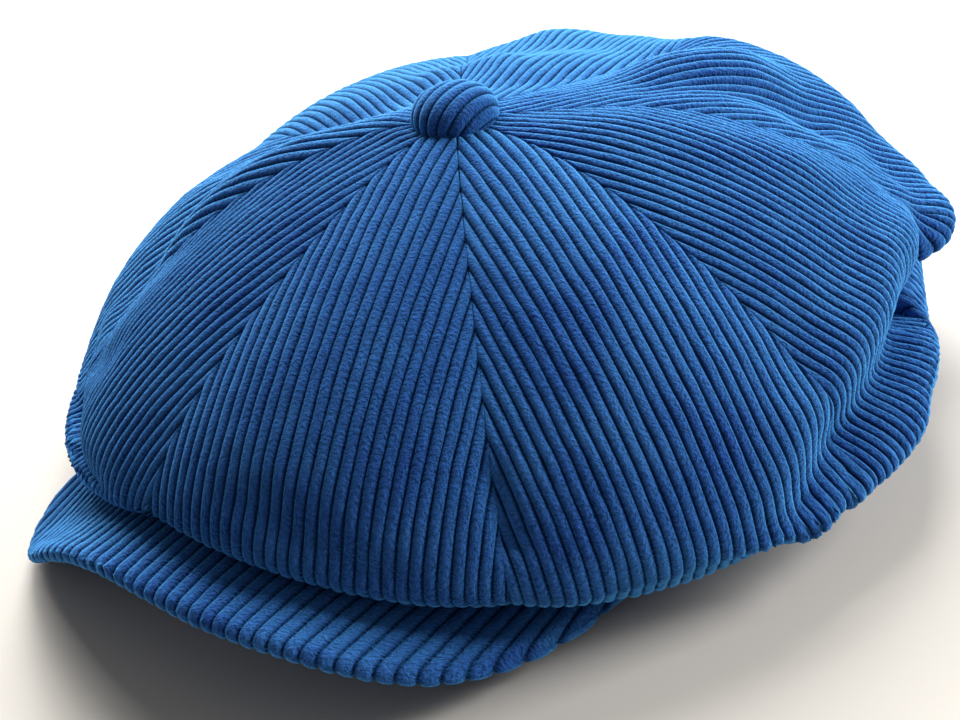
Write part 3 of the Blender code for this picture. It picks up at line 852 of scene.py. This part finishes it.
# %% Visor covers
def build_visor_cover(name, upper):
    """Top or lower cover of the visor, with its ribs."""
    scale = 1.0 if upper else UNDER_SCALE
    side = 1.0 if upper else -1.0
    offset, share, number = rib_columns(LEFT_END * scale, VISOR_PITCH, RIGHT_END * scale)
    x, y = visor_plan(offset, VISOR_ROWS, scale)
    distance, way = to_edge(x / scale, y / scale)
    lean = np.arcsin(1.0 - np.clip(distance / VISOR_ROLL, 0.0, 1.0))
    middle = visor_terms(x, y) @ visor_fit
    points = np.stack([x, y, middle + side * VISOR_THICK * np.cos(lean)], axis=-1)
    normal = lean_out(way, lean) * np.array([1.0, 1.0, side])
    if upper:
        roll = ROLL_ANGLE * np.linspace(0.0, 1.0, ROLL_ROWS + 1)[1:]
        inward = (VISOR_ROLL * (1.0 - np.cos(roll)))[None, :, None]
        under = points[:, -1:, :2] - way[:, -1:] * inward
        low = visor_terms(under[..., 0], under[..., 1]) @ visor_fit - VISOR_THICK * np.sin(roll)
        points = np.concatenate([points, np.concatenate([under, low[..., None]], axis=-1)], axis=1)
        past = np.repeat(way[:, -1:], ROLL_ROWS, axis=1)
        lean = np.repeat(roll[None, :] + math.pi / 2, len(offset), axis=0)
        normal = np.concatenate([normal, lean_out(past, lean)], axis=1)
    rows = points.shape[1]
    length = np.cumsum(np.linalg.norm(np.diff(points, axis=1, prepend=points[:, :1]), axis=-1),
                       axis=1)
    ids = np.repeat(number[:, None] + (500 if upper else 700), rows, axis=1)
    back = rib_back(share)[:, None] * round_tip(length[:, -1:] - length, TIP_LENGTH)
    plump = 1.0 + 0.14 * wander(length, ids, 8, 0.019)
    height = 0.95 * WALE_HEIGHT * (plump * back - 0.5)
    uv = np.stack([offset[:, None] + 0 * length + (3.0 if upper else 4.0), length], axis=-1)
    values = {"rib": back, "rib_shade": rib_shades(number + 60, rows, 12)}
    piece = shell_grid(name, points + normal * height[..., None],
                       points - normal * VISOR_CLOTH, uv, values, flip=upper)
    return piece, grid_area(points[::7])


def bend_with_visor(piece):
    """Bake the piece's placement into its mesh."""
    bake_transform(piece)


for name, node, upper in (("visor_top_corduroy", "visor_top_cover", True),
                          ("visor_under_corduroy", "visor_under_cover", False)):
    piece, area = build_visor_cover(name, upper)
    finish_piece(piece, corduroy, node)
    bend_with_visor(piece)
    print(name, "area", round(area * 1e4), "cm2,", len(piece.data.polygons), "faces")

# %% Visor card
CARD_SHRINK = 0.97
CARD_THICKNESS = 1.6 * MM


def build_card():
    """The stiff card inside: the middle surface, a little smaller than the covers."""
    side, out = np.meshgrid(np.linspace(-0.90, 0.90, 90), np.linspace(0.08, 0.93, 24),
                            indexing="ij")
    x, y, _ = visor_point(side, out)
    x = CARD_SHRINK * x
    points = np.stack([x, y, visor_terms(x, y) @ visor_fit], axis=-1)
    uv = np.stack([x, y], axis=-1)
    piece = cloth_grid("visor_card", points, uv, flip=True)
    give_thickness(piece, CARD_THICKNESS, 0.0)
    return piece


card_piece = build_card()
finish_piece(card_piece, card, "visor_board")
bend_with_visor(card_piece)

# %% [markdown]
# ## The covered button
# The button is a steel cap with a disc of the same corduroy pulled over it. A flat disc keeps its
# ribs straight, and wrapping it makes them curve down the sides. The formula does just that: it
# takes a point of the flat disc, keeps its direction from the centre, and walks the same distance
# down the dome's profile.

# %% Button cover
BUTTON_RADIUS = 12.4 * MM
BUTTON_HEIGHT = 8.0 * MM
BUTTON_CLOTH = 1.2 * MM
BUTTON_SEAT = CROWN_TOP[2] - 0.6 * MM
BUTTON_LEAN = math.radians(112)
BUTTON_TURN = math.radians(4)
BUTTON_ROWS = 60
BUTTON_TIP = 2.0 * MM
BUTTON_RIB_SHARE = 0.85


def button_profile(walked):
    """Radius and height after walking a distance down the dome, a quarter ellipse and its tuck."""
    lean = np.linspace(0.0, BUTTON_LEAN, 200)
    radius = BUTTON_RADIUS * np.sin(lean) ** 0.92
    height = BUTTON_HEIGHT * np.cos(lean)
    length = np.concatenate([[0.0], np.cumsum(np.hypot(np.diff(radius), np.diff(height)))])
    return np.interp(walked, length, radius), np.interp(walked, length, height), length[-1]


def build_button():
    """The disc of corduroy wrapped over the dome."""
    reach = button_profile(0.0)[2]
    offset, share, number = rib_columns(reach * 0.999, VISOR_PITCH)
    half = np.sqrt(np.maximum(reach ** 2 - offset ** 2, 0.0))
    row = np.linspace(-1.0, 1.0, BUTTON_ROWS)
    flat_y = half[:, None] * np.sin(row * math.pi / 2)[None, :]
    flat_x = np.repeat(offset[:, None], BUTTON_ROWS, axis=1)
    walked = np.hypot(flat_x, flat_y)
    way = np.arctan2(flat_y, flat_x) + BUTTON_TURN
    radius, height, _ = button_profile(walked)
    points = np.stack([CROWN_TOP[0] + radius * np.cos(way), CROWN_TOP[1] + radius * np.sin(way),
                       BUTTON_SEAT + height], axis=-1)
    normal = grid_normals(points)
    normal = normal * np.sign(normal[len(offset) // 2, BUTTON_ROWS // 2, 2])
    tip = round_tip(reach - walked, BUTTON_TIP)
    back = rib_back(share)[:, None] * tip
    inner = points - normal * BUTTON_CLOTH
    points = points + normal * (WALE_HEIGHT * BUTTON_RIB_SHARE * (back - 0.6))[..., None]
    uv = np.stack([flat_x + 6.0, flat_y], axis=-1)
    values = {"rib": back, "rib_shade": rib_shades(number + 90, BUTTON_ROWS, 13)}
    piece = shell_grid("button_corduroy", points, inner, uv, values)
    return piece, reach


button, reach = build_button()
finish_piece(button, corduroy, "button_cover", "cap")
for name in ("button_shell", "button_shank", "button_back_washer"):
    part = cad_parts[name]
    part.data.materials.clear()
    part.data.materials.append(steel)

# %% [markdown]
# ## The lining
# The lining is eight satin gores sewn to each other and to the sweatband. It hangs a little loose,
# so each gore bellies out between its seams and gathers into small pleats at the band.

# %% Lining gores
LINING_SPREAD = 2 * MM
LINING_TOP_DROP = 18 * MM
LINING_BELLY = 1.6 * MM
LINING_PLEAT = 0.5 * MM
LINING_ROOM = 1.2 * MM
BAND_HEIGHT = 28 * MM
PLY_GAP = 0.3 * MM


def lining_surface(angle, along):
    """Quarter-ellipse arcs from the top, at 0, to the band, at 1, with bellies and pleats."""
    lean = along * math.pi / 2
    rim_x, rim_y = on_opening(angle, LINING_SPREAD)
    rim_z = hem_height(angle) + BAND_HEIGHT + 4 * PLY_GAP
    top_z = CROWN_TOP[2] - LINING_TOP_DROP
    share = ((angle / GORE_ANGLE) % 1.0) * 2.0 - 1.0
    belly = LINING_BELLY * (1.0 - np.abs(share) ** 2.5) * np.sin(along * math.pi) ** 0.5
    pleat = LINING_PLEAT * np.sin(angle * 88 + 2 * np.sin(angle * 7)) * ease((along - 0.55) / 0.4)
    out = np.sin(lean)
    spread = 1.0 - (LINING_ROOM - belly * 0.5 + pleat) / HEAD_HALF_WIDTH
    x = CROWN_TOP[0] + (rim_x - CROWN_TOP[0]) * out * spread
    y = CROWN_TOP[1] + (rim_y - CROWN_TOP[1]) * out * spread
    return np.stack([x, y, rim_z + (top_z - rim_z) * np.cos(lean) + belly], axis=-1)


for index, name in enumerate(GORE_NAMES):
    angle, along = np.meshgrid(GORE_ANGLE * (index + np.linspace(0.0015, 0.9985, 64)),
                               np.linspace(0.012, 1.0, 60), indexing="ij")
    points = lining_surface(angle, along)
    uv = np.stack([(angle - GORE_ANGLE * (index + 0.5)) * 0.09 * along + index, along * 0.13],
                  axis=-1)
    piece = cloth_grid(f"satin_gore_{name}", points, uv, flip=True)
    give_thickness(piece, 0.5 * MM)
    finish_piece(piece, satin, f"lining_gore_{name}", "cap")
print("lining gore area", round(grid_area(points) * 1e4, 1), "cm2")

# %% [markdown]
# ## Sweatband, felt, hem tape and label
# Three bands go round the head opening. Each is a cross-section carried round the same oval as in
# the frame: a flat strip for the sweatband and the felt, and a folded strip for the hem tape.

# %% Bands
RING_COLUMNS = 361
BAND_ROWS = 24
MEAN_RADIUS = 0.094
HEM_BEND = 1.65 * MM
HEM_LEG = 5.7 * MM
HEM_THICKNESS = 0.35 * MM


def carry_round(offsets, heights, wave=0.0):
    """Carry a cross-section (offsets outwards, heights above the hem) round the head opening."""
    angle = np.linspace(0.0, 2 * math.pi, RING_COLUMNS)[:, None]
    ripple = wave * np.sin(angle * 23 + 1.5 * np.sin(angle * 5))
    x, y = on_opening(angle, np.asarray(offsets)[None, :] + ripple)
    z = hem_height(angle) + np.asarray(heights)[None, :]
    points = np.stack([x, y, z], axis=-1)
    section = np.hypot(np.diff(offsets, prepend=offsets[0]), np.diff(heights, prepend=heights[0]))
    uv = np.stack([angle * MEAN_RADIUS + 0 * z, np.cumsum(section)[None, :] + 0 * z], axis=-1)
    return points, uv


def add_band(name, node, offset, low, high, thickness, made, wave):
    """A strip round the opening. Its good side faces the head."""
    heights = np.linspace(low, high, BAND_ROWS)
    points, uv = carry_round(np.full(BAND_ROWS, offset), heights, wave)
    piece = cloth_grid(name, points, uv, ring=True)
    give_thickness(piece, thickness)
    finish_piece(piece, made, node, "cap")


add_band("sweatband_twill", "sweatband", 0.15 * MM, 1.9 * MM, BAND_HEIGHT, 0.75 * MM, twill,
         0.12 * MM)
add_band("headband_felt", "headband_interlining", 1.45 * MM, 2.0 * MM, BAND_HEIGHT - 2 * MM,
         0.7 * MM, felt, 0.0)

roll = np.linspace(0.0, math.pi, 15)
leg = np.linspace(0.0, 1.0, 9)[1:]
offsets = np.concatenate([1.7 - 1.35 * np.cos(roll), 3.05 - 0.1 * leg]) * MM
heights = np.concatenate([HEM_BEND - 1.62 * MM * np.sin(roll), HEM_BEND + HEM_LEG * leg])
points, uv = carry_round(offsets, heights)
hem = cloth_grid("hem_roll", points, uv, ring=True)
give_thickness(hem, HEM_THICKNESS)
finish_piece(hem, twill, "hem_tape", "cap")
print("hem tape", round(float(uv[0, -1, 1]) / MM, 1), "mm wide before it is folded")

# %% Label
LABEL_HALF_LENGTH = 18 * MM
LABEL_WIDTH = 18 * MM
LABEL_BOTTOM = 8.2 * MM
LABEL_RISE = 17.6 * MM
LABEL_THICKNESS = 0.35 * MM


def build_label():
    """A blank satin label on the band. It bows off the band in the middle and at its ends."""
    u, v = np.meshgrid(np.linspace(-1, 1, 40), np.linspace(0, 1, 22), indexing="ij")
    angle = math.pi + u * LABEL_HALF_LENGTH / HEAD_HALF_WIDTH
    lift = 0.95 * MM + 0.25 * MM * np.sin(v * math.pi) + 0.2 * MM * np.abs(u) ** 8
    x, y = on_opening(angle, -lift)
    points = np.stack([x, y, hem_height(angle) + LABEL_BOTTOM + LABEL_RISE * v], axis=-1)
    uv = np.stack([u * LABEL_HALF_LENGTH, v * LABEL_WIDTH], axis=-1)
    piece = cloth_grid("blank_size_label", points, uv, flip=True)
    give_thickness(piece, LABEL_THICKNESS, 0.0)
    return piece


label = build_label()
finish_piece(label, label_cloth, "size_label", "cap")
print("label", round(LABEL_HALF_LENGTH * 2 / MM), "mm long")

# %% Stitches
STITCHES = 210
STITCH_SHARE = 0.62
THREAD_RADIUS = 0.22 * MM


def thread_run(name, begin, end, lift, radius):
    """A row of stitches. Each is a thin tube on a low arch from its begin point to its end."""
    along = np.linspace(0.0, 1.0, 6)
    ring = np.linspace(0.0, 2 * math.pi, 7)[:-1]
    arch = np.sin(along * math.pi)
    centre = (begin[:, None] + (end - begin)[:, None] * along[None, :, None]
              + lift[:, None] * arch[None, :, None] * radius * 2.0)
    way = unit(end - begin)
    side = unit(np.cross(way, lift))
    girth = radius * (0.35 + 0.65 * np.sqrt(arch.clip(0, 1)))
    tube = (side[:, None, None] * np.cos(ring)[None, None, :, None]
            + lift[:, None, None] * np.sin(ring)[None, None, :, None])
    points = centre[:, :, None] + tube * girth[None, :, None, None]
    count, steps, sides = len(begin), len(along), len(ring)
    index = np.arange(count * steps * sides).reshape(count, steps, sides)
    nxt = np.roll(index, -1, axis=2)
    quads = np.stack([index[:, :-1], index[:, 1:], nxt[:, 1:], nxt[:, :-1]], axis=-1)
    caps = np.concatenate([index[:, 0, ::-1], index[:, -1]])
    mesh = bpy.data.meshes.new(name)
    mesh.from_pydata(points.reshape(-1, 3).tolist(), [],
                     quads.reshape(-1, 4).tolist() + caps.tolist())
    mesh.update()
    return link_piece(name, mesh)


thread, tree, shader = new_material("sewing_thread", {"Roughness": 0.55, "Sheen Weight": 0.3})
spot = add_node(tree, "TexCoord").outputs["Object"]
fibre = vary(tree, spot, 0.0002, 0.01)
tree.links.new(mix_colour(tree, fibre["Tufts"], (0.02, 0.05, 0.14, 1), (0.05, 0.12, 0.30, 1)),
               shader["Base Color"])


def band_stitches(name, height):
    """Stitches round the inside of the band at one height."""
    pitch = 2 * math.pi / STITCHES
    angle = np.arange(STITCHES) * pitch
    ends = []
    for turn in (angle, angle + STITCH_SHARE * pitch):
        x, y = on_opening(turn, 0.0)
        ends.append(np.stack([x, y, hem_height(turn) + height], axis=-1))
    inward = unit(np.stack([-np.sin(angle), np.cos(angle), 0 * angle], axis=-1))
    piece = thread_run(name, ends[0], ends[1], inward, THREAD_RADIUS)
    finish_piece(piece, thread, body="cap")
    print(name, STITCHES, "stitches")


band_stitches("sweatband_lower_stitches", 4.2 * MM)
band_stitches("sweatband_upper_stitches", BAND_HEIGHT - 2.2 * MM)

# %% [markdown]
# ## Camera, floor and light
# The camera looks at the cap's left front from above, held slightly tilted. Three large soft boxes
# stand behind the cap and to its sides, so the top and the sides glow, the front stays deep blue
# and every rib throws a small shadow into its groove. The corduroy adds painted shade to the front
# gores and the grooves. A weak pale surround fills the rest.

# %% Camera
CAMERA_AZIMUTH = math.radians(49.5)
CAMERA_ELEVATION = math.radians(32.5)
CAMERA_ROLL = math.radians(-10.5)
CAMERA_DISTANCE = 0.625
CAMERA_VIEW = math.radians(25.6)
CAMERA_TARGET = np.array([0.0114, -0.0188, 0.0274])


def place_facing(thing, spot, back, right):
    """Put a camera or lamp at spot, looking against back, with right to its right."""
    up = np.cross(back, right)
    rows = [[right[i], up[i], back[i], spot[i]] for i in range(3)] + [[0, 0, 0, 1]]
    thing.matrix_world = Matrix(rows)
    bpy.context.scene.collection.objects.link(thing)


def add_camera():
    """Place the camera by azimuth, elevation, roll and distance from its target."""
    az, el, roll = CAMERA_AZIMUTH, CAMERA_ELEVATION, CAMERA_ROLL
    back = np.array([math.sin(az) * math.cos(el), -math.cos(az) * math.cos(el), math.sin(el)])
    right = np.array([math.cos(az), math.sin(az), 0.0])
    right = right * math.cos(roll) + np.cross(back, right) * math.sin(roll)
    lens = bpy.data.cameras.new("camera")
    lens.angle = CAMERA_VIEW
    lens.clip_start = 0.05
    camera = bpy.data.objects.new("camera", lens)
    place_facing(camera, CAMERA_TARGET + back * CAMERA_DISTANCE, back, right)
    bpy.context.scene.camera = camera


add_camera()
print("camera", CAMERA_DISTANCE, "m from its target")

# %% Floor and lamps
LAMP_TARGET = np.array([0.0, 0.0, 0.05])
# Each lamp: name, place in metres, width in metres and power in watts.
LAMPS = (
    ("back_softbox", (-0.65, 0.75, 0.95), 0.8, 32),
    ("right_softbox", (0.85, 1.0, 0.70), 0.7, 30),
    ("left_softbox", (-1.05, 0.42, 0.55), 0.7, 24),
)
SURROUND = (0.95, 0.97, 1.0, 1)
SURROUND_STRENGTH = 0.21


def make_paper():
    """Matt warm paper with very faint clouds."""
    made, tree, shader = new_material("floor_paper", {"Roughness": 0.9,
                                                      "Specular IOR Level": 0.1})
    place = add_node(tree, "TexCoord").outputs["Object"]
    varied = vary(tree, place, 0.002, 0.3)
    tree.links.new(mix_colour(tree, varied["Patches"], (0.59, 0.555, 0.505, 1),
                              (0.61, 0.575, 0.525, 1)), shader["Base Color"])
    return made


def add_floor(half=4.0):
    """A large flat floor."""
    corners = half * np.array([[[-1, -1, 0], [-1, 1, 0]], [[1, -1, 0], [1, 1, 0]]])
    floor = cloth_grid("floor", corners)
    floor.data.materials.append(make_paper())


def add_lamp(name, spot, size, power):
    """A square white soft box that faces the middle of the cap."""
    data = bpy.data.lights.new(name, "AREA")
    data.size = size
    data.energy = power
    back = unit(np.array(spot) - LAMP_TARGET)
    right = unit(np.cross([0, 0, 1.0], back))
    place_facing(bpy.data.objects.new(name, data), spot, back, right)


add_floor()
for name, spot, size, power in LAMPS:
    add_lamp(name, spot, size, power)
bpy.context.scene.view_settings.view_transform = "Standard"
world = bpy.data.worlds.new("studio")
bpy.context.scene.world = world
world.use_nodes = True
background = world.node_tree.nodes["Background"].inputs
background["Color"].default_value = SURROUND
background["Strength"].default_value = SURROUND_STRENGTH
print("lamps:", [lamp[0] for lamp in LAMPS])
